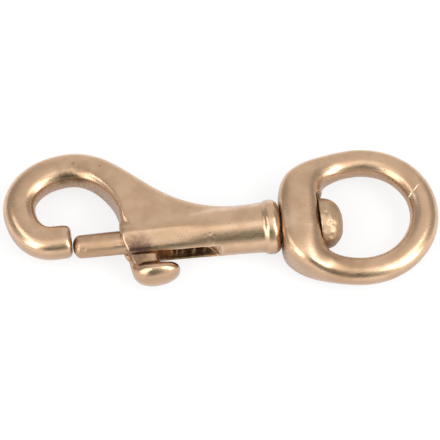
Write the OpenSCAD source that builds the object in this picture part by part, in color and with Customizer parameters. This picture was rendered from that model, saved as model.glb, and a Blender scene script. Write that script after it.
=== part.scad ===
// Snap hook: a cast brass bolt snap with a swivel eye, lying on its side.
// X runs along the barrel towards the eye, Y towards the crown of the hook, Z up.
// The origin is the centre of the round of the eye, on the swivel axis.

/* [Hook arm] */
// Width of the arm, in the plane of the hook
arm_w = 6.4; // [5.6:0.1:7.2]
// Thickness of the arm, through the plane of the hook
arm_t = 6.3; // [5.4:0.1:7.4]
// Squareness of the section of the arm, 2 being an ellipse
arm_square = 2.5; // [2:0.1:3.6]
// Length of the straight nose
nose_len = 3.9; // [3:0.1:6]
// Height of the nose's centre line above the barrel axis
nose_rise = 1.4; // [0.6:0.1:1.8]
// Rounding of the edge of the nose
nose_round = 1.2; // [0.4:0.1:1.5]
// Length of the bend below the tip of the hook, on its centre line
low_l = 5.8; // [5:0.1:8]
// Height of the bend below the tip of the hook, on its centre line
low_h = 7.5; // [6.5:0.1:9]
// Length of the bend above the tip of the hook, on its centre line
crown_l = 10.5; // [9.5:0.1:12]
// Height of the bend above the tip of the hook, on its centre line
crown_h = 7.9; // [7:0.1:9.5]
// Height above the axis at which the bowl runs into the mouth of the barrel
crotch_h = 4.6; // [4:0.1:5.4]
// Thickness of the ridge where it fades into the barrel
ridge_t = 5; // [4:0.1:6]

/* [Barrel] */
// Length of the barrel from its mouth to the collar
barrel_len = 27.7; // [26.5:0.1:31]
// Diameter of the barrel at its mouth
mouth_d = 8.6; // [8.2:0.1:9.6]
// Diameter of the barrel at the collar
rear_d = 9.7; // [9:0.1:10]
// Rounding of the rim of the mouth
mouth_round = 0.9; // [0.4:0.1:1.2]
// Rake of the lower half of the mouth, in degrees
mouth_rake = 18; // [0:1:20]
// Diameter of the collar bead
collar_d = 10.8; // [10.4:0.1:12]
// Length of the collar bead
collar_len = 3.1; // [2.6:0.1:3.6]
// Rounding of the collar bead
collar_round = 1.2; // [0.5:0.1:1.2]
// Diameter of the saw that ran out at the rear of the slot
saw_d = 16; // [13:0.5:22]
// Solid metal between the bore of the bolt and the socket of the pin
web = 2.4; // [1.6:0.1:3]

/* [Bolt] */
// Diameter of the rod
bolt_d = 4.7; // [4.2:0.1:5]
// How far the tip stands out of the mouth
bolt_out = 9.2; // [8.5:0.1:9.4]
// How far the tip draws back behind the mouth
draw_in = 0.4; // [0.2:0.1:0.6]
// Length of the rod
bolt_len = 19.3; // [18.5:0.1:20]
// Chamfer at the rear of the rod
rod_chamfer = 0.3; // [0.2:0.1:0.6]
// Rounding of the tip
tip_round = 1.5; // [0.6:0.1:2]
// How far the neck sits behind the mouth
neck_set = 1.2; // [0.8:0.1:1.6]
// Length of the neck where it leaves the rod
neck_l = 5.8; // [5:0.1:6.4]
// Thickness of the neck
neck_t = 3.6; // [2.8:0.1:3.8]
// Length of the thumb knob
knob_l = 9.5; // [8.5:0.1:11]
// Thickness of the thumb knob, from the barrel outwards
knob_h = 3.6; // [3:0.1:4.5]
// Width of the thumb knob, across the barrel
knob_w = 7.2; // [5.5:0.1:8.5]
// Room for the thumb knob below the barrel
knob_drop = 1.6; // [1:0.1:3]

/* [Spring] */
// Diameter of the wire
wire_d = 0.5; // [0.35:0.05:0.5]
// Outer diameter of the coil
coil_d = 4.3; // [3.8:0.1:4.4]
// Turns that spread out between the two closed ends
turns = 5.5; // [4:0.5:5.5]

/* [Swivel] */
// Clear width of the eye
eye_w = 17.8; // [16:0.1:20]
// Clear length of the eye, from its base to its far end
eye_l = 16.9; // [16.5:0.1:20]
// Length of the round of the eye, from its centre to its far end
round_l = 9.5; // [9.3:0.1:11]
// Diameter of the ring of the eye
ring_d = 5.3; // [4.5:0.1:6]
// Width of the ring at its far end
ring_end = 5.7; // [4.5:0.1:6.5]
// Length of the base of the eye, along the pin
base_l = 8.4; // [7.5:0.1:9.5]
// Thickness of the base of the eye
base_t = 10.6; // [9.6:0.1:11.4]
// Squareness of the section of the base, 2 being an ellipse
base_square = 4.5; // [2.6:0.1:6]
// Squareness of the base on the side of the eye, where it is rounded more
base_ease = 2.6; // [2.2:0.1:4.5]
// Squareness of the section of the ring, 2 being an ellipse
ring_square = 2.3; // [2:0.1:3.2]
// Lean of the cast loop off the swivel axis, in degrees
eye_lean = 3.5; // [0:0.5:6]
// How far the ring is drawn out of round beside its seam
seam_pull = 0.5; // [0:0.1:0.8]
// Diameter of the shank of the pin, in the eye
shank_d = 4.8; // [4.2:0.1:5.2]
// Diameter of the end of the pin, in the barrel
tenon_d = 4; // [3.5:0.1:4.1]
// Length of the end of the pin, in the barrel
tenon_l = 4; // [3:0.1:5]
// Diameter of the domed head
head_d = 10.2; // [8.5:0.1:10.4]
// Height of the domed head
head_h = 4.6; // [3:0.1:5.2]
// How far the domed head was set off the axis
head_off = 0.5; // [0:0.1:0.8]
// Straight rim under the dome of the head
head_rim = 0.2; // [0.1:0.1:0.6]
// How deep the seat of the head is faced into the base
seat_cut = 0.9; // [0.2:0.1:1.2]

/* [Clearances] */
// Between the rod and its bore, all round
bolt_fit = 0.1; // [0.05:0.05:0.2]
// Between the neck and its slot, on each side
slot_fit = 0.3; // [0.1:0.05:0.35]
// Between the tip of the bolt and the nose
nose_gap = 0.1; // [0.05:0.05:0.6]
// Between the eye and the collar, and between the eye and the head
swivel_gap = 0.3; // [0.15:0.05:0.5]
// Between the shank and the eye, all round
shank_fit = 0.1; // [0.05:0.05:0.2]
// Between the head and the side of its seat, all round
seat_fit = 0.3; // [0.2:0.05:0.5]

/* [Hidden] */
$fn = 64;

// Stations along the axis
seat_x = round_l - eye_l;
base_x = seat_x - base_l;
collar_x = base_x - swivel_gap;
bead_x = collar_x - collar_len;
mouth_x = bead_x - barrel_len;
nose_x = mouth_x - bolt_out - nose_gap;
socket_x = collar_x - tenon_l;
bore_x = socket_x - web;
tip_x = mouth_x - bolt_out;
rod_x = tip_x + bolt_len;
neck_x = mouth_x + neck_set + neck_l;
travel = bolt_out + draw_in;
slot_w = neck_t + 2 * slot_fit;
bore_d = bolt_d + 2 * bolt_fit;

function lerp(a, b, t) = a + (b - a) * t;
function ease(t) = t * t * (3 - 2 * t);
function bezier(p, t) = let (u = 1 - t)
  u * u * u * p[0] + 3 * u * u * t * p[1] + 3 * u * t * t * p[2] + t * t * t * p[3];
// A point of a rounded square, n being its squareness
function super(a, n) = [
  sign(cos(a)) * pow(abs(cos(a)), 2 / n),
  sign(sin(a)) * pow(abs(sin(a)), 2 / n)
];
// How far a rounded edge of radius r lies inside, at depth d
function inset(d, r) = d < r ? r - sqrt(r * r - (r - d) * (r - d)) : 0;

// A ring of points between an outer and an inner rail point,
// with its own half thickness and squareness at each of the two
function section(outer, inner, t_out, t_in, n_out, n_in, count) = [
  for (j = [0:count - 1])
    let (a = 360 * j / count, s = super(a, cos(a) > 0 ? n_out : n_in), p = (1 + s[0]) / 2)
      [each lerp(inner, outer, p), s[1] * lerp(t_in, t_out, p)]
];

// A closed skin over rings of points, in a loop or capped at both ends
module skin(rings, loop = false) {
  m = len(rings);
  n = len(rings[0]);
  last = (m - 1) * n;
  sides = [
    for (i = [0:m - (loop ? 1 : 2)], j = [0:n - 1])
      let (a = i * n, b = ((i + 1) % m) * n, k = (j + 1) % n)
        each [[a + j, b + j, b + k], [a + j, b + k, a + k]]
  ];
  caps = [
    for (j = [1:n - 2])
      each [[0, j, j + 1], [last, last + j + 1, last + j]]
  ];
  polyhedron([for (r = rings) each r], loop ? sides : concat(sides, caps), convexity = 6);
}

// Turns a profile of [x, radius] points about the X axis
module turned(profile) {
  rotate([90, 0, 90])
    rotate_extrude()
      polygon([for (q = profile) [q[1], q[0]]]);
}

// A bar along the X axis
module bar(x0, x1, d) {
  translate([x0, 0, 0])
    rotate([0, 90, 0])
      cylinder(h = x1 - x0, d = d);
}

// A quarter round about [x, r], from angle a0 to a1
function round_off(x, r, radius, a0, a1, steps = 5) = [
  for (i = [0:steps])
    let (a = lerp(a0, a1, i / steps)) [x + radius * cos(a), r + radius * sin(a)]
];

// The hook arm: rails along its outer and inner edges
half_w = arm_w / 2;
low = [nose_x - nose_len, nose_rise + low_h];
crown = [low[0] - low_l + crown_l, low[1]];
tail_rise = 0.4;
tail_in = 0.4;
tail = [bead_x + tail_in, rear_d / 2 + tail_rise];
// Pulls of the curves' handles, and where the bowl's curve hands over to the root's
crown_pull = 13;
tail_pull = [21.8, 2];
bowl_pull = 4.6;
crotch_pull = 4;
root_pull = 7;
split = 0.53;
// The root of the gusset lies inside the barrel, past its axis
root_y = -1.5;
crotch_x = mouth_x + 0.2;
outer_rail = [
  crown + [0, crown_h + half_w],
  crown + [crown_pull, crown_h + half_w],
  tail - tail_pull,
  tail
];
bowl_rail = [
  crown + [0, crown_h - half_w],
  crown + [bowl_pull, crown_h - half_w],
  [mouth_x, crotch_h + crotch_pull],
  [crotch_x, crotch_h]
];
root_rail = [
  [crotch_x, crotch_h],
  [crotch_x, root_y],
  [mouth_x + root_pull, root_y],
  [tail[0], root_y]
];
root_square = 6;
root_proud = 0.1;

function nose_at(d) = let (c = inset(d, nose_round), w = half_w - c, t = arm_t / 2 - c)
  [[nose_x - d, nose_rise - w], [nose_x - d, nose_rise + w], t, t, arm_square];
function bend_at(c, l, h, a) = [
  c + [(l + half_w) * cos(a), (h + half_w) * sin(a)],
  c + [(l - half_w) * cos(a), (h - half_w) * sin(a)],
  arm_t / 2,
  arm_t / 2,
  arm_square
];
function shoulder_at(t) = [
  bezier(outer_rail, t),
  t < split ? bezier(bowl_rail, t / split) : bezier(root_rail, (t - split) / (1 - split)),
  lerp(arm_t, ridge_t, ease(t)) / 2,
  lerp(arm_t, mouth_d + root_proud, ease(min(1, t / split))) / 2,
  lerp(arm_square, root_square, ease(min(1, t / split)))
];
arm_stations = concat(
  [for (f = [0, 0.15, 0.45, 1]) nose_at(f * nose_round)],
  [for (i = [0:14]) bend_at(low, low_l, low_h, lerp(270, 180, i / 14))],
  [for (i = [1:16]) bend_at(crown, crown_l, crown_h, lerp(180, 90, i / 16))],
  [for (i = [1:26]) shoulder_at(i / 26)]
);

module hook_arm() {
  skin([for (s = arm_stations) section(s[0], s[1], s[2], s[3], arm_square, s[4], 28)]);
}

// The barrel with its rounded mouth and its collar bead,
// the angles being where the mouth's round and the bead's round meet the straight side
mouth_end = 95;
bead_start = 140;
module barrel() {
  turned(concat(
    [[mouth_x, 0]],
    round_off(mouth_x + mouth_round, mouth_d / 2 - mouth_round, mouth_round, 180, mouth_end),
    [[bead_x, rear_d / 2]],
    round_off(bead_x + collar_round, collar_d / 2 - collar_round, collar_round, bead_start, 90),
    round_off(collar_x - collar_round, collar_d / 2 - collar_round, collar_round, 90, 0),
    [[collar_x, 0]]
  ));
}

// The slot for the neck: open at the mouth, and at its rear the round of the saw,
// which is clear of the neck at the depth where the neck leaves the bore
slot_x = neck_x + travel + slot_fit;
saw_r = saw_d / 2;
neck_y = sqrt(pow(bore_d / 2, 2) - pow(neck_t / 2, 2));
saw_x = slot_x - sqrt(pow(saw_r, 2) - pow(saw_r - neck_y, 2));
open_end = 2;
module slot() {
  translate([mouth_x - open_end, -mouth_d, -slot_w / 2])
    cube([saw_x - mouth_x + open_end, mouth_d, slot_w]);
  translate([saw_x, -saw_r, -slot_w / 2])
    cylinder(h = slot_w, r = saw_r);
}

// What the rake takes off the lower half of the mouth
module rake() {
  translate([mouth_x, 0, 0])
    rotate([0, 0, mouth_rake])
      translate([-mouth_d, -mouth_d, -mouth_d])
        cube([mouth_d, mouth_d, 2 * mouth_d]);
}

module hook_body() {
  color("goldenrod")
    difference() {
      union() {
        hook_arm();
        barrel();
      }
      bar(mouth_x - 1, bore_x, bore_d);
      slot();
      rake();
      bar(socket_x, collar_x + 1, tenon_d);
    }
}

// The thumb piece: sections from the rod down through the neck to the knob,
// each with its depth, front end, rear end, width and squareness
knob_y = -mouth_d / 2 - knob_drop;
knob_set = 0.3;
knob_x = mouth_x + neck_set + knob_set;
knob_rear = knob_x + knob_l;
neck_square = 5;
neck_flare = 0.5;
thumb = [
  [-bolt_d / 4, mouth_x + neck_set, neck_x, neck_t, neck_square],
  [knob_y + knob_h / 3, mouth_x + neck_set, neck_x, neck_t, neck_square],
  [knob_y + knob_h / 12, knob_x - 0.1, neck_x + neck_flare, neck_t + neck_flare, 3.4],
  [knob_y, knob_x - 0.1, knob_rear - 0.6, knob_w - 2.4, 2.5],
  [knob_y - 0.15 * knob_h, knob_x, knob_rear - 0.1, knob_w - 1.1, 2.4],
  [knob_y - 0.3 * knob_h, knob_x + 0.1, knob_rear, knob_w - 0.3, 2.3],
  [knob_y - 0.45 * knob_h, knob_x + 0.2, knob_rear - 0.1, knob_w, 2.3],
  [knob_y - 0.6 * knob_h, knob_x + 0.5, knob_rear - 0.5, knob_w - 0.3, 2.2],
  [knob_y - 0.75 * knob_h, knob_x + 1, knob_rear - 1.2, knob_w - 1.2, 2.2],
  [knob_y - 0.88 * knob_h, knob_x + 1.6, knob_rear - 2.1, knob_w - 2.4, 2.2],
  [knob_y - 0.97 * knob_h, knob_x + 2.4, knob_rear - 3.4, knob_w - 4.2, 2.1],
  [knob_y - knob_h, knob_x + 3.4, knob_rear - 4.6, 0.6, 2]
];

module thumb_piece() {
  skin([
    for (q = thumb) [
      for (j = [0:35])
        let (s = super(10 * j, q[4]))
          [lerp(q[1], q[2], (1 + s[0]) / 2), q[0], s[1] * q[3] / 2]
    ]
  ]);
}

module bolt() {
  color("darkgoldenrod")
    union() {
      turned(concat(
        [[tip_x, 0]],
        round_off(tip_x + tip_round, bolt_d / 2 - tip_round, tip_round, 180, 90, 8),
        [[rod_x - rod_chamfer, bolt_d / 2], [rod_x, bolt_d / 2 - rod_chamfer], [rod_x, 0]]
      ));
      thumb_piece();
    }
}

// The spring: closed end turns at both ends, open turns between them
end_turns = 1.25;
end_pitch = 1.08 * wire_d;
end_play = 0.02;
spring_l = bore_x - rod_x - wire_d - 2 * end_play;
all_turns = turns + 2 * end_turns;
closed_l = end_pitch * end_turns;
function spring_x(v) =
  v < end_turns ? end_pitch * v
  : v > all_turns - end_turns ? spring_l - end_pitch * (all_turns - v)
  : lerp(closed_l, spring_l - closed_l, (v - end_turns) / turns);

module bolt_spring() {
  color("silver")
    skin([
      for (i = [0:16 * all_turns])
        let (v = i / 16, x = rod_x + end_play + wire_d / 2 + spring_x(v)) [
          for (k = [0:7])
            let (r = (coil_d - wire_d + wire_d * cos(45 * k)) / 2)
              [x + wire_d / 2 * sin(45 * k), r * cos(360 * v), r * sin(360 * v)]
        ]
    ]);
}

// The pin: domed head, shank in the eye, thinner end in the barrel
head_x = seat_x - seat_cut + swivel_gap;
dome_square = 2.4;
dome_steps = 12;
module swivel_pin() {
  dome_x = head_x + head_rim;
  color("peru")
    union() {
      turned([
        [socket_x, 0], [socket_x, tenon_d / 2], [collar_x, tenon_d / 2],
        [collar_x, shank_d / 2], [dome_x, shank_d / 2], [dome_x, 0]
      ]);
      translate([0, -head_off, 0])
        turned(concat(
          [[head_x, 0], [head_x, head_d / 2 - head_rim]],
          [
            for (i = [0:dome_steps])
              let (s = super(90 - 90 * i / dome_steps, dome_square))
                [dome_x + (head_h - head_rim) * s[0], head_d / 2 * s[1]]
          ]
        ));
    }
}

// The eye: polar rails of the loop about its own centre
eye_steps = 80;
round_w = eye_w / 2;
out_w = round_w + ring_d;
out_l = round_l + ring_end;
// The base is skinned a little long at both ends and then faced off
spare = 0.3;
corner_out = 14;
corner_in = 16;
shoulder_out = 3.4;
shoulder_in = 2;
seam_at = 50;
base_from = 105;
base_fade = 60;
function ellipse_r(a, l, w) = 1 / sqrt(pow(cos(a) / l, 2) + pow(sin(a) / w, 2));
// The nearer of a curve r and a wall at distance d on the -X side, joined by a round corner
function walled(r, a, d, k) = cos(a) < -0.05 ? pow(pow(r, -k) + pow(-d / cos(a), -k), -1 / k) : r;
// The seam side of the ring, drawn outwards
function pulled(a) = seam_pull * pow(max(0, cos(a - seam_at)), 2);
function outer_r(a) = let (l = cos(a) < 0 ? out_l + shoulder_out : out_l)
  walled(ellipse_r(a, l, out_w), a, spare - base_x, corner_out) + pulled(a);
function inner_r(a) = let (l = cos(a) < 0 ? round_l + shoulder_in : round_l)
  walled(ellipse_r(a, l, round_w), a, -seat_x - spare, corner_in) + pulled(a);
function base_share(a) = ease(max(0, min(1, (abs(a) - base_from) / base_fade)));
eye_rings = [
  for (i = [0:eye_steps - 1])
    let (
      a = 360 * i / eye_steps - 180,
      u = [cos(a), sin(a)],
      b = base_share(a),
      t = lerp(ring_d, base_t, b) / 2,
      n_out = lerp(ring_square, base_square, b),
      n_in = lerp(ring_square, base_ease, b)
    )
      section(outer_r(a) * u, inner_r(a) * u, t, t, n_out, n_in, 24)
];

module swivel_eye() {
  color("gold")
    difference() {
      rotate([0, 0, -eye_lean])
        skin(eye_rings, loop = true);
      bar(base_x - ring_d, base_x, collar_d + 1);
      bar(seat_x - seat_cut, seat_x + ring_d, head_d + 2 * (head_off + seat_fit));
      bar(base_x - 1, seat_x + 1, shank_d + 2 * shank_fit);
    }
}

hook_body();
bolt();
bolt_spring();
swivel_pin();
swivel_eye();
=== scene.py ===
"""A cast brass snap hook with a spring bolt and a swivel eye, lying on its side."""

import math

import bmesh
import bpy
import numpy as np
from mathutils import Matrix, Vector


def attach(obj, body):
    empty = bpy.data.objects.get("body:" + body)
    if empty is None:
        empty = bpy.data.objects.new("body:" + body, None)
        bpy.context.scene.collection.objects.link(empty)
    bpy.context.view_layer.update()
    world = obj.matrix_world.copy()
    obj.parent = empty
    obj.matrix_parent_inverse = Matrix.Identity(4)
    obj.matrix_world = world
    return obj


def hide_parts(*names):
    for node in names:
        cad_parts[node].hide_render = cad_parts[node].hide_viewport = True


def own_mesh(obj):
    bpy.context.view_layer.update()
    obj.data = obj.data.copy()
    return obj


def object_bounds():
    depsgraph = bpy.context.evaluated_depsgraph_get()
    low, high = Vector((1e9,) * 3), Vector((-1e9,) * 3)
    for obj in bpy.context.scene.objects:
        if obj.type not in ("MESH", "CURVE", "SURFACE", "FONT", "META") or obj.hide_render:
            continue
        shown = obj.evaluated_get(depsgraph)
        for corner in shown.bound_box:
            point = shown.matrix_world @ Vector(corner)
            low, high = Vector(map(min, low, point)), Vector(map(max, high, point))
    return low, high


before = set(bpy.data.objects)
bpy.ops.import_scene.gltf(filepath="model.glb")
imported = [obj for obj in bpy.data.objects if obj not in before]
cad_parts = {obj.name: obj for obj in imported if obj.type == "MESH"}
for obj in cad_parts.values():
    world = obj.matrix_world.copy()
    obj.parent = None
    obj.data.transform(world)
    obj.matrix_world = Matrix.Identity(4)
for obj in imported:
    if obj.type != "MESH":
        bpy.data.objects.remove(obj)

cad_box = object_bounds()

MM = 0.001
FLOOR_Z = cad_box[0].z


# Bench work: small steps that the pieces go through, in millimetres and degrees

# Points of a CAD mesh that are closer than this are one
MERGE_WITHIN = 0.002
# Two triangles become one face if they bend and skew it less than this
QUAD_BEND = 15
QUAD_SKEW = 60
# Edges sharper than this keep their crease
CREASE_OVER = 30
# A dent's faces are made finer, with this many cuts, out to this many times its reach
DENT_CUTS = 2
DENT_MARGIN = 1.5
# Points this close to a cut lie on it
ON_CUT = 0.001


def take_up(piece):
    """Leaves this piece as the only one selected, and the active one."""
    bpy.ops.object.select_all(action="DESELECT")
    piece.select_set(True)
    bpy.context.view_layer.objects.active = piece


def work(piece, kind, **settings):
    """Puts one modifier on a piece, sets it and applies it."""
    take_up(piece)
    bpy.ops.object.modifier_add(type=kind)
    step = piece.modifiers[-1]
    for key, value in settings.items():
        setattr(step, key, value)
    bpy.ops.object.modifier_apply(modifier=step.name)


def rough_casting(node, name):
    """A merged copy of a CAD node, worked on in millimetres, with its sharp edges creased."""
    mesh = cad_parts[node].data.copy()
    mesh.transform(Matrix.Scale(1 / MM, 4))
    mesh.materials.clear()
    piece = bpy.data.objects.new(name, mesh)
    bpy.context.scene.collection.objects.link(piece)
    take_up(piece)
    bpy.ops.object.mode_set(mode="EDIT")
    bpy.ops.mesh.select_mode(type="EDGE")
    bpy.ops.mesh.select_all(action="SELECT")
    bpy.ops.mesh.remove_doubles(threshold=MERGE_WITHIN)
    bpy.ops.mesh.tris_convert_to_quads(
        face_threshold=math.radians(QUAD_BEND), shape_threshold=math.radians(QUAD_SKEW))
    bpy.ops.mesh.select_all(action="DESELECT")
    bpy.ops.mesh.edges_select_sharp(sharpness=math.radians(CREASE_OVER))
    bpy.ops.transform.edge_crease(value=1)
    bpy.ops.object.mode_set(mode="OBJECT")
    return piece


def rub_down(piece, rounds, group=""):
    """Smooths a piece, or one group of its points, this many times over."""
    work(piece, "SMOOTH", factor=0.5, iterations=rounds, vertex_group=group)


def tumble(piece, grain, rounds):
    """Rounds the edges off as tumbling does: an even skin of small faces, then smoothing."""
    work(piece, "SUBSURF", levels=2, render_levels=2)
    work(piece, "REMESH", mode="VOXEL", voxel_size=grain)
    rub_down(piece, rounds)


def waver(piece, name, size, depth):
    """Lets the skin sink unevenly, never outwards, in soft hollows of about this size."""
    hollows = bpy.data.textures.new(name, "CLOUDS")
    hollows.noise_scale = size
    hollows.noise_depth = 1
    work(piece, "DISPLACE", texture=hollows, texture_coords="LOCAL",
         strength=depth, mid_level=1.0)


def open_up(piece, kind):
    """Goes into edit mode with nothing selected, and gives the mesh there."""
    if piece.mode != "EDIT":
        take_up(piece)
        bpy.ops.object.mode_set(mode="EDIT")
    bpy.ops.mesh.select_mode(type=kind)
    bpy.ops.mesh.select_all(action="DESELECT")
    return bmesh.from_edit_mesh(piece.data)


def pick_faces(piece, centre, reach):
    """Selects the faces that lie within reach of a place."""
    skin = open_up(piece, "FACE")
    for face in skin.faces:
        face.select = (face.calc_center_median() - centre).length < reach
    bmesh.update_edit_mesh(piece.data)


def dent(piece, centre, reach, depth):
    """A pit or a knock: finer faces about the place, and its middle pushed in."""
    pick_faces(piece, centre, DENT_MARGIN * reach)
    bpy.ops.mesh.subdivide(number_cuts=DENT_CUTS, ngon=False)
    skin = open_up(piece, "VERT")
    middle = min(skin.verts, key=lambda point: (point.co - centre).length)
    middle.select = True
    bmesh.update_edit_mesh(piece.data)
    bpy.ops.transform.shrink_fatten(
        value=-depth, use_proportional_edit=True,
        proportional_edit_falloff="SMOOTH", proportional_size=reach)
    bpy.ops.object.mode_set(mode="OBJECT")


def cut_seam(piece, middle, across, reach, half_width, depth):
    """A fine V groove where a plane crosses the piece, within reach of a place."""
    for shift in (-half_width, 0, half_width):
        pick_faces(piece, middle, reach)
        bpy.ops.mesh.bisect(plane_co=middle + shift * across, plane_no=across)
    skin = open_up(piece, "VERT")
    for point in skin.verts:
        away = point.co - middle
        point.select = away.length < reach and abs(away.dot(across)) < ON_CUT
    bmesh.update_edit_mesh(piece.data)
    bpy.ops.transform.shrink_fatten(value=-depth)
    bpy.ops.object.mode_set(mode="OBJECT")


def close_up(piece, start, end, radius, shift):
    """Slides the points between start and end, outside a radius about the axis, along the axis."""
    skin = open_up(piece, "VERT")
    for point in skin.verts:
        point.select = start < point.co.x < end and point.co.yz.length > radius
    bmesh.update_edit_mesh(piece.data)
    bpy.ops.transform.translate(value=(shift, 0, 0))
    bpy.ops.object.mode_set(mode="OBJECT")


def thicken(piece, low, high, times_wider):
    """Widens the part of a piece inside a box, across the lying plane."""
    skin = open_up(piece, "VERT")
    for point in skin.verts:
        point.select = all(a < b < c for a, b, c in zip(low, point.co, high))
    bmesh.update_edit_mesh(piece.data)
    bpy.ops.transform.resize(value=(1, 1, times_wider))
    bpy.ops.object.mode_set(mode="OBJECT")


def points_of(piece):
    """The piece's points as an array, in millimetres."""
    co = np.empty(len(piece.data.vertices) * 3)
    piece.data.vertices.foreach_get("co", co)
    return co.reshape(-1, 3)


def put_back(piece, co):
    """Moves the piece's points to the places in an array."""
    piece.data.vertices.foreach_set("co", co.ravel())
    piece.data.update()


def soft_step(value, start, end):
    """1 up to start, 0 past end, and a soft step between them."""
    share = np.clip((end - value) / (end - start), 0, 1)
    return share * (share * (3 - 2 * share))


def soften(piece, name, low, high, margin, rounds, beyond=0.0):
    """Smooths the skin inside a box, less towards its sides, outside a radius about the axis."""
    co = points_of(piece)
    inside = np.minimum(co - np.array(low), np.array(high) - co).min(1)
    weight = np.clip(inside / margin, 0, 1)
    weight[np.hypot(co[:, 1], co[:, 2]) < beyond] = 0
    group = piece.vertex_groups.new(name=name)
    for index in np.flatnonzero(weight):
        group.add([int(index)], float(weight[index]), "REPLACE")
    rub_down(piece, rounds, group=name)
    piece.vertex_groups.clear()


def round_tip(piece, start, length, share):
    """Draws the end of the rod in towards its axis, in a quarter of an ellipse."""
    co = points_of(piece)
    along = np.clip((start - co[:, 0]) / length, 0, 1)
    co[:, 1:] *= (1 - share * (1 - np.sqrt(1 - along ** 2)))[:, None]
    put_back(piece, co)


def file_flat(piece, lean, depth, edge, start, end):
    """Files a shallow flat along the barrel, leaning to the front, with soft edges.

    It runs in over the first millimetre of the barrel and fades out between start and end."""
    co = points_of(piece)
    out = np.array((0, -math.sin(math.radians(lean)), math.cos(math.radians(lean))))
    from_mouth = co[:, 0] - MOUTH_X
    share = soft_step(co[:, 0], start, end) * np.clip(from_mouth, 0, 1)
    proud = co @ out - (MOUTH_RADIUS + BARREL_TAPER * from_mouth - depth)
    filed = share * edge * np.logaddexp(0, proud / edge)
    put_back(piece, co - filed[:, None] * out)


def square_up(piece, face, depth, tightness=1.3, rounds=3):
    """Tightens the rounded edge of a face that looks along the axis, within a depth behind it."""
    co = points_of(piece)
    behind = np.clip((co[:, 0] - face) / depth, 0, 1)
    tightened = face + depth * behind ** tightness
    co[:, 0] = np.where(co[:, 0] < face + depth, tightened, co[:, 0])
    put_back(piece, co)
    rub_down(piece, rounds)


def fill_out(piece, start, end, from_y, to_y, rise, swell=1.3):
    """Raises the upper front shoulder of the eye's base, fully up to start, not past end."""
    co = points_of(piece)
    share = soft_step(co[:, 0], start, end)
    forward = np.clip((from_y - co[:, 1]) / (from_y - to_y), 0, 1)
    co[:, 2] *= 1 + rise * share * forward ** swell * (co[:, 2] > 0)
    put_back(piece, co)


def mark_relief(piece, rounds):
    """Keeps how far each point stands proud of the smoothed form, and how much it faces aside,
    which sets the painted shade on the sides.
    """
    smoothed = piece.copy()
    smoothed.data = piece.data.copy()
    bpy.context.scene.collection.objects.link(smoothed)
    rub_down(smoothed, rounds)
    normals = np.empty(len(piece.data.vertices) * 3)
    piece.data.vertex_normals.foreach_get("vector", normals)
    normals = normals.reshape(-1, 3)
    proud = ((points_of(piece) - points_of(smoothed)) * normals).sum(1)
    relief = piece.data.attributes.new("relief", "FLOAT", "POINT")
    relief.data.foreach_set("value", proud.astype(np.float32))
    aside_for_painted_shade = piece.data.attributes.new("aside_for_painted_shade", "FLOAT", "POINT")
    aside_for_painted_shade.data.foreach_set("value", (1 - abs(normals[:, 2])).astype(np.float32))
    bpy.data.objects.remove(smoothed)


def set_down(piece, body, node, finish):
    """Brings a finished piece to metres, gives it its finish and ties it to the part."""
    take_up(piece)
    piece.scale = (MM, MM, MM)
    bpy.ops.object.transform_apply(location=False, rotation=False, scale=True)
    bpy.ops.object.shade_smooth()
    piece.data.materials.append(finish)
    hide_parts(node)
    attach(piece, body)


# Finishes

BRASS = (0.63, 0.42, 0.27, 1)
BRASS_SHADE = (0.54, 0.35, 0.215, 1)
PIN_BRASS = (0.55, 0.385, 0.245, 1)
PIN_SHADE = (0.43, 0.30, 0.18, 1)
# Painted shade for the faces turned aside
SIDE_PAINTED_SHADE = (0.34, 0.215, 0.14, 1)
# Tarnish in hollows and pinholes, darker along the slot's lower lip, and painted shade in the bowl
# of the hook
TARNISH_AND_PAINTED_SHADE = (0.13, 0.085, 0.035, 1)
STAIN = (0.17, 0.085, 0.062, 1)
REDDISH = (0.34, 0.16, 0.10, 1)
GOLDEN = (0.58, 0.38, 0.18, 1)
# Filed bright metal at the eye's seam, and painted light on the sawn face at the end of the slot
FILED_AND_PAINTED_LIGHT = (0.82, 0.68, 0.50, 1)
# A painted highlight on the eye's base beside the collar
PAINTED_HIGHLIGHT = (0.78, 0.55, 0.37, 1)
# Painted shade that tones down reflections on the rod, the knob and the ring
WARM_PAINTED_SHADE = (0.42, 0.26, 0.155, 1)
WIRE = (0.42, 0.40, 0.37, 1)
GREASE = (0.24, 0.20, 0.15, 1)

# How fine each mark on the brass is, in repeats a millimetre
MOTTLE_PER_MM = 0.28
TARNISH_PER_MM = 0.9
PINHOLE_PER_MM = 0.8
PINHOLE_PATCH_PER_MM = 0.4
SCRATCH_PER_MM = 2.2
RIPPLE_PER_MM = 1.1
GRIT_PER_MM = 2.6
SEAM_TEAR_PER_MM = 2.0
SEAM_FADE_PER_MM = 0.6
# Scratches run along the barrel
SCRATCH_STRETCH = (0.25, 1.6, 1.6)
# How much each mark darkens the brass, from 0 to 1; on the sides this darkening is painted shade
SIDE_PAINTED_SHADE_SHARE = 0.65
HOLLOW_TARNISH = 0.7
PINHOLE_TARNISH = 0.55
# How much rougher the shaded mottles and the hollows are
MOTTLE_ROUGHER = 0.06
HOLLOW_ROUGHER = 0.15
# Shares of the relief, next to that of the pinholes
SCRATCH_RELIEF = 0.15
RIPPLE_RELIEF = 0.6
# A blot is full and gone at these shares of its reach, once noise has added about half of it
SPOT_FULL = 0.5
SPOT_GONE = 1.5
# A line is full at this share of its half width, and noise tears off up to this share
LINE_FULL = 0.6
LINE_TORN = 0.7


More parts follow.
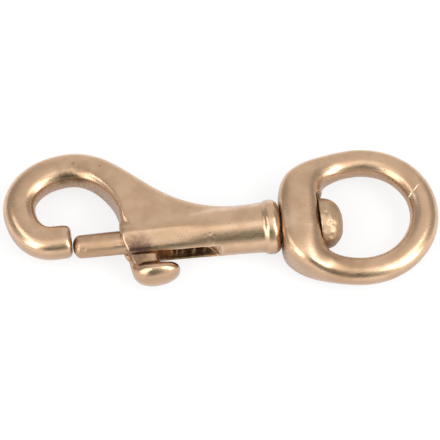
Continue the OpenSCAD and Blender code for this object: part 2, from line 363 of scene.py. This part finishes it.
class Graph:
    """Shader nodes, added one after another."""

    def __init__(self, tree):
        self.tree = tree

    def add(self, kind, settings=None, **inputs):
        node = self.tree.nodes.new(kind)
        for key, value in (settings or {}).items():
            setattr(node, key, value)
        for key, value in inputs.items():
            self.feed(node.inputs[key.replace("_", " ")], value)
        return node

    def feed(self, socket, value):
        """Links a value to a socket, or sets it there if it is constant."""
        if isinstance(value, bpy.types.NodeSocket):
            self.tree.links.new(value, socket)
        else:
            socket.default_value = value

    def pair(self, kind, operation, a, b):
        """A node that works on two values."""
        node = self.add(kind, {"operation": operation})
        self.feed(node.inputs[0], a)
        self.feed(node.inputs[1], b)
        return node

    def math(self, operation, a, b=0.0):
        return self.pair("ShaderNodeMath", operation, a, b).outputs[0]

    def times(self, a, b):
        return self.math("MULTIPLY", a, b)

    def plus(self, a, b):
        return self.math("ADD", a, b)

    def vector(self, operation, a, b):
        return self.pair("ShaderNodeVectorMath", operation, a, b).outputs

    def span(self, value, low, high, to_low=0.0, to_high=1.0):
        """A soft step from one level to another, as a value goes from low to high."""
        node = self.add("ShaderNodeMapRange", {"interpolation_type": "SMOOTHSTEP"}, Value=value)
        for key, number in (("From Min", low), ("From Max", high),
                            ("To Min", to_low), ("To Max", to_high)):
            node.inputs[key].default_value = number
        return node.outputs["Result"]

    def blend(self, share, first, second):
        node = self.add("ShaderNodeMix", {"data_type": "RGBA"}, Factor=share, A=first, B=second)
        return node.outputs["Result"]


class Finish(Graph):
    """A procedural finish, laid out over the piece in millimetres."""

    def __init__(self, name):
        self.material = bpy.data.materials.new(name)
        self.material.use_nodes = True
        super().__init__(self.material.node_tree)
        self.shader = self.tree.nodes["Principled BSDF"]
        place = self.add("ShaderNodeTexCoord")
        to_mm = self.add("ShaderNodeMapping", Vector=place.outputs["Object"])
        to_mm.inputs["Scale"].default_value = (1 / MM, 1 / MM, 1 / MM)
        self.place = to_mm.outputs["Vector"]

    def kept(self, name):
        """A value that was kept at each point of the piece."""
        return self.add("ShaderNodeAttribute", {"attribute_name": name}).outputs["Fac"]

    def noise(self, per_mm, detail=3.0, roughness=0.55, stretch=None):
        place = self.place
        if stretch:
            stretched = self.add("ShaderNodeMapping", Vector=place)
            stretched.inputs["Scale"].default_value = stretch
            place = stretched.outputs["Vector"]
        node = self.add("ShaderNodeTexNoise", Vector=place, Scale=per_mm,
                        Detail=detail, Roughness=roughness)
        return node.outputs["Fac"]

    def spot(self, centre, reach, ragged):
        """A ragged blot about a point, 1 at its middle and 0 past its reach, all in mm."""
        away = self.vector("DISTANCE", self.place, centre)["Value"]
        torn = self.times(self.noise(ragged, detail=4.0), reach)
        return self.span(self.plus(away, torn), SPOT_GONE * reach, SPOT_FULL * reach)

    def line(self, middle, across, half_width, reach):
        """A fine ragged line where a plane crosses the piece, fading past its reach, all in mm."""
        away = self.vector("SUBTRACT", self.place, middle)["Vector"]
        off = self.vector("DOT_PRODUCT", away, across)["Value"]
        torn = self.times(self.noise(SEAM_TEAR_PER_MM), LINE_TORN * half_width)
        near = self.plus(self.math("ABSOLUTE", off), torn)
        return self.times(self.span(near, half_width, LINE_FULL * half_width),
                          self.spot(middle, reach, SEAM_FADE_PER_MM))

    def roughen(self, height, strength, depth):
        """Gives the skin a fine relief, of a depth in mm."""
        bump = self.add("ShaderNodeBump", Height=height)
        bump.inputs["Strength"].default_value = strength
        bump.inputs["Distance"].default_value = depth * MM
        self.feed(self.shader.inputs["Normal"], bump.outputs["Normal"])


def cast_brass(name, tone, shade, satin, stains=(), dull=(), seams=(), rough=0.0, sides=0.45):
    """Satin polished cast brass: mottled, with tarnished hollows, pinholes and fine scratches,
    painted shade on the faces turned aside, and painted highlights and painted shade among the
    stains.
    """
    f = Finish(name)
    mottle = f.span(f.noise(MOTTLE_PER_MM, detail=4.0, roughness=0.6), low=0.34, high=0.66)
    colour = f.blend(mottle, shade, tone)
    # Painted shade: faces turned aside get darker, from a slant set by sides
    painted_side_shade = f.span(f.kept("aside_for_painted_shade"), low=sides, high=0.95, to_high=SIDE_PAINTED_SHADE_SHARE)
    colour = f.blend(painted_side_shade, colour, SIDE_PAINTED_SHADE)
    hollow = f.times(f.span(f.kept("relief"), low=-0.02, high=-0.11),
                     f.span(f.noise(TARNISH_PER_MM, detail=4.0), low=0.3, high=0.6))
    colour = f.blend(f.times(hollow, HOLLOW_TARNISH), colour, TARNISH_AND_PAINTED_SHADE)
    # The stains hold painted highlights and painted shade besides real stains
    for centre, reach, ragged, tint, strength in stains:
        colour = f.blend(f.times(f.spot(centre, reach, ragged), strength), colour, tint)
    for middle, across, half_width, reach, tint, strength in seams:
        mark = f.line(middle, across, half_width, reach)
        colour = f.blend(f.times(mark, strength), colour, tint)
    pinhole = f.add("ShaderNodeTexVoronoi", Vector=f.place, Scale=PINHOLE_PER_MM)
    holes = f.times(f.span(pinhole.outputs["Distance"], low=0.16, high=0.05),
                    f.span(f.noise(PINHOLE_PATCH_PER_MM, detail=2.0), low=0.55, high=0.62))
    colour = f.blend(f.times(holes, PINHOLE_TARNISH), colour, TARNISH_AND_PAINTED_SHADE)
    f.feed(f.shader.inputs["Base Color"], colour)
    f.shader.inputs["Metallic"].default_value = 1.0

    scratch = f.noise(SCRATCH_PER_MM, roughness=0.6, stretch=SCRATCH_STRETCH)
    gloss = f.plus(
        f.span(mottle, low=0.0, high=1.0, to_low=satin + MOTTLE_ROUGHER, to_high=satin),
        f.span(scratch, low=0.3, high=0.7, to_low=-0.03, to_high=0.05))
    gloss = f.plus(gloss, f.times(hollow, HOLLOW_ROUGHER))
    for centre, reach, ragged, extra in dull:
        gloss = f.plus(gloss, f.times(f.spot(centre, reach, ragged), extra))
    f.feed(f.shader.inputs["Roughness"], gloss)

    grit = f.plus(f.times(scratch, SCRATCH_RELIEF),
                  f.times(f.noise(RIPPLE_PER_MM), RIPPLE_RELIEF))
    grit = f.plus(grit, f.times(f.noise(GRIT_PER_MM, detail=4.0, roughness=0.7), rough))
    f.roughen(f.math("SUBTRACT", grit, holes), strength=0.35, depth=0.02)
    f.shader.inputs["Coat Weight"].default_value = 0.3
    f.shader.inputs["Coat Roughness"].default_value = 0.2
    return f.material


def spring_wire(name):
    """Drawn steel wire, dulled by grease along its length."""
    f = Finish(name)
    film = f.span(f.noise(per_mm=1.2, detail=4.0), low=0.35, high=0.65)
    f.feed(f.shader.inputs["Base Color"], f.blend(film, WIRE, GREASE))
    f.shader.inputs["Metallic"].default_value = 1.0
    f.feed(f.shader.inputs["Roughness"],
           f.span(film, low=0.0, high=1.0, to_low=0.28, to_high=0.5))
    f.roughen(f.noise(per_mm=3.0, detail=2.0), strength=0.2, depth=0.01)
    return f.material


# The pieces, in millimetres until they are set down

# The barrel at its mouth, and how much its radius grows along it
MOUTH_X = -46.9
MOUTH_RADIUS = 4.3
BARREL_TAPER = 0.02
# Casting pits in the arm: place, reach and depth
HOOK_PITS = [
    ((-54.6, 16.8, 3.0), 0.22, 0.08),
    ((-49.4, 15.5, 3.0), 0.25, 0.1),
    ((-33.0, 4.6, 2.4), 0.22, 0.08),
]
# Nicks that a tool left on the barrel
BARREL_NICKS = [
    ((-30.6, -2.3, 3.9), 0.5, 0.025),
    ((-29.6, -2.1, 4.0), 0.45, 0.03),
    ((-28.9, -2.5, 3.8), 0.5, 0.025),
]
# A knock beside the tip of the bolt
BOLT_KNOCK = Vector((-54.1, -1.6, 1.7))
# Knocks from peening the head of the pin
HEAD_KNOCKS = [
    ((-6.9, -0.5, 5.0), 0.7, 0.12),
    ((-6.5, -2.6, 4.5), 0.6, 0.14),
    ((-5.6, -2.6, 4.2), 0.8, 0.14),
    ((-6.2, -4.6, 2.7), 0.8, 0.12),
]
# The oblique seam that closes the ring of the eye
EYE_SEAM = Vector((11.17, 3.61, 0))
EYE_SEAM_ACROSS = Vector((-0.682, 0.731, 0)).normalized()

# Stains, bright spots, painted highlights and painted shade: place, reach, how ragged (per mm),
# tint and strength
SLOT_LIP_X = (-39.4, -37.4, -35.4, -33.4, -31.6)
HOOK_STAINS = [
    # Beside the neck of the bolt
    ((-43.9, -2.9, 3.1), 3.6, 1.1, STAIN, 0.8),
    ((-43.1, -3.7, 2.3), 3.8, 1.1, STAIN, 0.85),
    # Darker along the lower lip of the slot
    *(((x, -4.2, -2.0), 2.4, 1.0, TARNISH_AND_PAINTED_SHADE, 0.85) for x in SLOT_LIP_X),
    # Painted light on the sawn face at the end of the slot
    ((-29.0, -4.1, 0.6), 2.8, 1.2, FILED_AND_PAINTED_LIGHT, 0.85),
    # Painted shade: dark reflections in the bowl of the hook
    ((-56.6, 14.2, 2.0), 2.6, 1.0, TARNISH_AND_PAINTED_SHADE, 0.75),
    ((-53.6, 14.1, 2.0), 3.0, 1.0, TARNISH_AND_PAINTED_SHADE, 0.75),
    # About the pits
    *((place, 0.6, 2.0, REDDISH, 0.7) for place, reach, depth in HOOK_PITS),
]
BOLT_STAINS = [
    # On the neck
    ((-42.8, -5.0, 1.7), 2.6, 1.4, GOLDEN, 0.8),
    ((-43.6, -4.2, 1.8), 3.0, 1.4, STAIN, 0.7),
    # Painted shade along the front of the rod and about the knob
    ((-51.5, -1.7, 0.6), 7.0, 0.7, WARM_PAINTED_SHADE, 0.9),
    ((-42.3, -9.2, -0.5), 5.6, 0.5, WARM_PAINTED_SHADE, 0.8),
]
EYE_STAINS = [
    # Painted highlight at the collar, painted shade at the front
    ((-14.4, -1.0, 3.5), 4.4, 0.5, PAINTED_HIGHLIGHT, 0.9),
    ((-5.0, -10.5, 1.5), 6.5, 0.5, WARM_PAINTED_SHADE, 0.9),
    # Filed by the seam and at the root of the ring
    ((10.2, 2.8, 1.6), 1.0, 2.4, FILED_AND_PAINTED_LIGHT, 0.6),
    ((-4.7, 9.9, 2.0), 1.2, 3.0, FILED_AND_PAINTED_LIGHT, 0.5),
]
# Spots without polish: place, reach, how ragged (per mm) and how much rougher
HOOK_DULL = [((-29.2, -3.7, 0.6), 3.2, 1.2, 0.45)]
BOLT_DULL = [((-51.5, 0, 0), 9.0, 0.4, 0.25)]
# Lines: place, direction across, half width, reach, tint and strength
EYE_LINES = [(EYE_SEAM, EYE_SEAM_ACROSS, 0.34, 9.0, FILED_AND_PAINTED_LIGHT, 0.45)]

hook = rough_casting("hook_body", "hook_casting")
close_up(hook, start=-16.3, end=-15.9, radius=0.0, shift=0.2)
tumble(hook, grain=0.19, rounds=6)
file_flat(hook, lean=21, depth=0.36, edge=0.09, start=-37.5, end=-30.0)
soften(hook, "gusset_run", low=(-43.0, 0.0, -6.0), high=(-20.0, 7.0, 6.0),
       margin=1.8, rounds=100, beyond=3.6)
soften(hook, "mouth", low=(-47.8, -5.2, -5.2), high=(-44.6, 3.4, 5.2),
       margin=0.8, rounds=40, beyond=3.0)
waver(hook, "hook_hollows", size=6.0, depth=0.08)
mark_relief(hook, rounds=80)
for place, reach, depth in HOOK_PITS + BARREL_NICKS:
    dent(hook, Vector(place), reach, depth)
set_down(hook, "hook", "hook_body", cast_brass(
    "hook_brass", BRASS, BRASS_SHADE, satin=0.24, stains=HOOK_STAINS, dull=HOOK_DULL))

bolt = rough_casting("bolt", "spring_bolt")
close_up(bolt, start=-57.0, end=-55.0, radius=0.0, shift=-0.12)
thicken(bolt, low=(-46.0, -4.8, -2.0), high=(-39.6, -1.3, 2.0), times_wider=1.08)
tumble(bolt, grain=0.14, rounds=5)
soften(bolt, "neck", low=(-46.8, -6.2, -3.8), high=(-38.7, -3.8, 3.8), margin=0.3, rounds=16)
round_tip(bolt, start=-54.5, length=1.7, share=0.4)
waver(bolt, "bolt_hollows", size=3.0, depth=0.14)
dent(bolt, BOLT_KNOCK, reach=0.7, depth=0.1)
mark_relief(bolt, rounds=80)
# The bolt's sides darken from a slighter slant: painted shade on the lower half of the rod and on
# the knob
set_down(bolt, "bolt", "bolt", cast_brass(
    "bolt_brass", BRASS, BRASS_SHADE, satin=0.23, stains=BOLT_STAINS, dull=BOLT_DULL, sides=0.1))

spring = rough_casting("bolt_spring", "coil_spring")
work(spring, "SUBSURF", levels=1, render_levels=1)
set_down(spring, "hook", "bolt_spring", spring_wire("drawn_wire"))
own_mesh(spring)

pin = rough_casting("swivel_pin", "domed_pin")
close_up(pin, start=-8.2, end=-7.7, radius=3.0, shift=-0.22)
tumble(pin, grain=0.14, rounds=5)
waver(pin, "pin_hollows", size=1.6, depth=0.2)
for place, reach, depth in HEAD_KNOCKS:
    dent(pin, Vector(place), reach, depth)
mark_relief(pin, rounds=60)
set_down(pin, "hook", "swivel_pin", cast_brass(
    "pin_brass", PIN_BRASS, PIN_SHADE, satin=0.46, rough=1.2))

eye = rough_casting("swivel_eye", "swivel_eye_casting")
tumble(eye, grain=0.16, rounds=6)
square_up(eye, face=-15.78, depth=1.4)
fill_out(eye, start=-11.5, end=-7.0, from_y=-3.0, to_y=-10.0, rise=0.17)
waver(eye, "eye_hollows", size=5.0, depth=0.08)
mark_relief(eye, rounds=100)
cut_seam(eye, EYE_SEAM, EYE_SEAM_ACROSS, reach=4.6, half_width=0.2, depth=0.16)
set_down(eye, "eye", "swivel_eye", cast_brass(
    "eye_brass", BRASS, BRASS_SHADE, satin=0.26, stains=EYE_STAINS, seams=EYE_LINES))


# Camera: the part seen from above its front edge, its axis rising a little to the right

CAMERA_ELEVATION = math.radians(64)
AXIS_SLOPE = math.radians(6.66)
CAMERA_AWAY = 450 * MM
FILM_WIDTH = 36
MM_PER_PIXEL = 0.195
PICTURE_SIDE = 440
LOOK_RIGHT = -27.3 * MM
LOOK_UP = -0.4875 * MM

tip = math.pi / 2 - CAMERA_ELEVATION
right = Vector((math.cos(AXIS_SLOPE), -math.sin(AXIS_SLOPE), 0))
back = Vector((-math.sin(tip) * math.sin(AXIS_SLOPE),
               -math.sin(tip) * math.cos(AXIS_SLOPE), math.cos(tip)))
up = back.cross(right)
look_at = LOOK_RIGHT * right + LOOK_UP * up
view = bpy.data.cameras.new("view")
view.sensor_width = FILM_WIDTH
view.lens = FILM_WIDTH * CAMERA_AWAY / (MM_PER_PIXEL * MM * PICTURE_SIDE)
camera = bpy.data.objects.new("camera", view)
camera.matrix_world = Matrix.Translation(look_at + CAMERA_AWAY * back) @ Matrix(
    (right, up, back)).transposed().to_4x4()
bpy.context.scene.collection.objects.link(camera)
bpy.context.scene.camera = camera


# Floor: white paper, a little below the part

PAPER_SIDE = 8
PAPER_GAP = 0.02 * MM
PAPER_WHITE = (0.9, 0.9, 0.9, 1)
# How much of the paper is plain white, to the camera and in the brass
PLAIN_TO_CAMERA = 0.76
PLAIN_IN_BRASS = 0.1

bpy.ops.object.select_all(action="DESELECT")
bpy.ops.mesh.primitive_plane_add(
    size=PAPER_SIDE, location=(look_at.x, look_at.y, FLOOR_Z - PAPER_GAP))
floor = bpy.context.object
floor.name = "floor"
paper = bpy.data.materials.new("white_paper")
paper.use_nodes = True
sheet = Graph(paper.node_tree)
sheet.tree.nodes.remove(sheet.tree.nodes["Principled BSDF"])
matt = sheet.add("ShaderNodeBsdfDiffuse", Color=PAPER_WHITE)
plain = sheet.add("ShaderNodeEmission", Strength=1.0)
ray = sheet.add("ShaderNodeLightPath").outputs
in_brass = sheet.math("MAXIMUM", sheet.times(ray["Is Glossy Ray"], PLAIN_IN_BRASS),
                      sheet.times(ray["Is Transmission Ray"], PLAIN_IN_BRASS))
to_camera = sheet.times(ray["Is Camera Ray"], PLAIN_TO_CAMERA)
both = sheet.add("ShaderNodeMixShader", Fac=sheet.math("MAXIMUM", to_camera, in_brass))
sheet.feed(both.inputs[1], matt.outputs[0])
sheet.feed(both.inputs[2], plain.outputs[0])
sheet.feed(sheet.tree.nodes["Material Output"].inputs["Surface"], both.outputs[0])
floor.data.materials.append(paper)


# Light: soft lamps inside a white tent

def towards(azimuth, elevation):
    """A direction from the part, in degrees. Azimuth 0 is behind it, 90 on its right."""
    a, e = math.radians(azimuth), math.radians(elevation)
    return Vector((math.sin(a) * math.cos(e), math.cos(a) * math.cos(e), math.sin(e)))


def softbox(name, azimuth, elevation, away, width, height, level):
    """A soft lamp aimed at the part."""
    out = towards(azimuth, elevation)
    lamp = bpy.data.lights.new(name, "AREA")
    lamp.shape = "RECTANGLE"
    lamp.size, lamp.size_y = width, height
    lamp.energy = level * math.pi * width * height
    holder = bpy.data.objects.new(name, lamp)
    holder.location = look_at + away * out
    holder.rotation_mode = "QUATERNION"
    holder.rotation_quaternion = (-out).to_track_quat("-Z", "Y")
    bpy.context.scene.collection.objects.link(holder)


# Azimuth and elevation in degrees, distance, width and height in metres, and level
SOFTBOXES = {
    "left_softbox": (-128, 36, 0.5, 0.22, 0.5, 3.2),
    "right_softbox": (126, 36, 0.5, 0.22, 0.5, 4.3),
    "left_high_softbox": (-84, 54, 0.5, 0.24, 0.16, 2.2),
    "right_high_softbox": (96, 60, 0.5, 0.22, 0.16, 2.6),
    "top_softbox": (180, 86, 0.6, 0.5, 0.26, 0.5),
}
for name, settings in SOFTBOXES.items():
    softbox(name, *settings)

room = bpy.data.worlds.new("white_tent")
bpy.context.scene.world = room
room.use_nodes = True
tent = Graph(room.node_tree)
direction = tent.add("ShaderNodeTexCoord").outputs["Generated"]


def opening(azimuth, elevation, outer, inner):
    """1 in a round opening of the tent, 0 outside it, with a soft edge. All in degrees."""
    near = tent.vector("DOT_PRODUCT", direction, towards(azimuth, elevation))["Value"]
    return tent.span(near, math.cos(math.radians(outer)), math.cos(math.radians(inner)))


TENT_LEVEL = 0.92
TENT_WHITE = (1, 1, 1, 1)
# The open front: azimuth, elevation, outer and inner edge, then its share of the level and its tint
OPEN_FRONT = (181, 36, 40, 12)
FRONT_SHARE = 0.55
FRONT_TINT = (0.86, 1, 0.96, 1)
# Darker panels: azimuth, elevation, outer and inner edge, and share of the level
TENT_PANELS = (
    (190, 34, 26, 8, 0.4),
    (-62, 36, 50, 15, 0.5),
    (70, 24, 36, 14, 0.5),
)
# All of them end above a low white edge. It fades out between these heights, if the radius is 1
EDGE_FROM = 0.1
EDGE_TO = 0.17

height = tent.add("ShaderNodeSeparateXYZ", Vector=direction).outputs["Z"]
above_edge = tent.span(height, EDGE_FROM, EDGE_TO)
front = tent.times(opening(*OPEN_FRONT), above_edge)
level = tent.span(front, 0, 1, TENT_LEVEL, TENT_LEVEL * FRONT_SHARE)
for *place, share in TENT_PANELS:
    panel = tent.times(opening(*place), above_edge)
    level = tent.times(level, tent.span(panel, 0, 1, 1, share))
cloth = tent.tree.nodes["Background"]
tent.feed(cloth.inputs["Strength"], level)
tent.feed(cloth.inputs["Color"], tent.blend(front, TENT_WHITE, FRONT_TINT))

bpy.context.scene.view_settings.view_transform = "Standard"
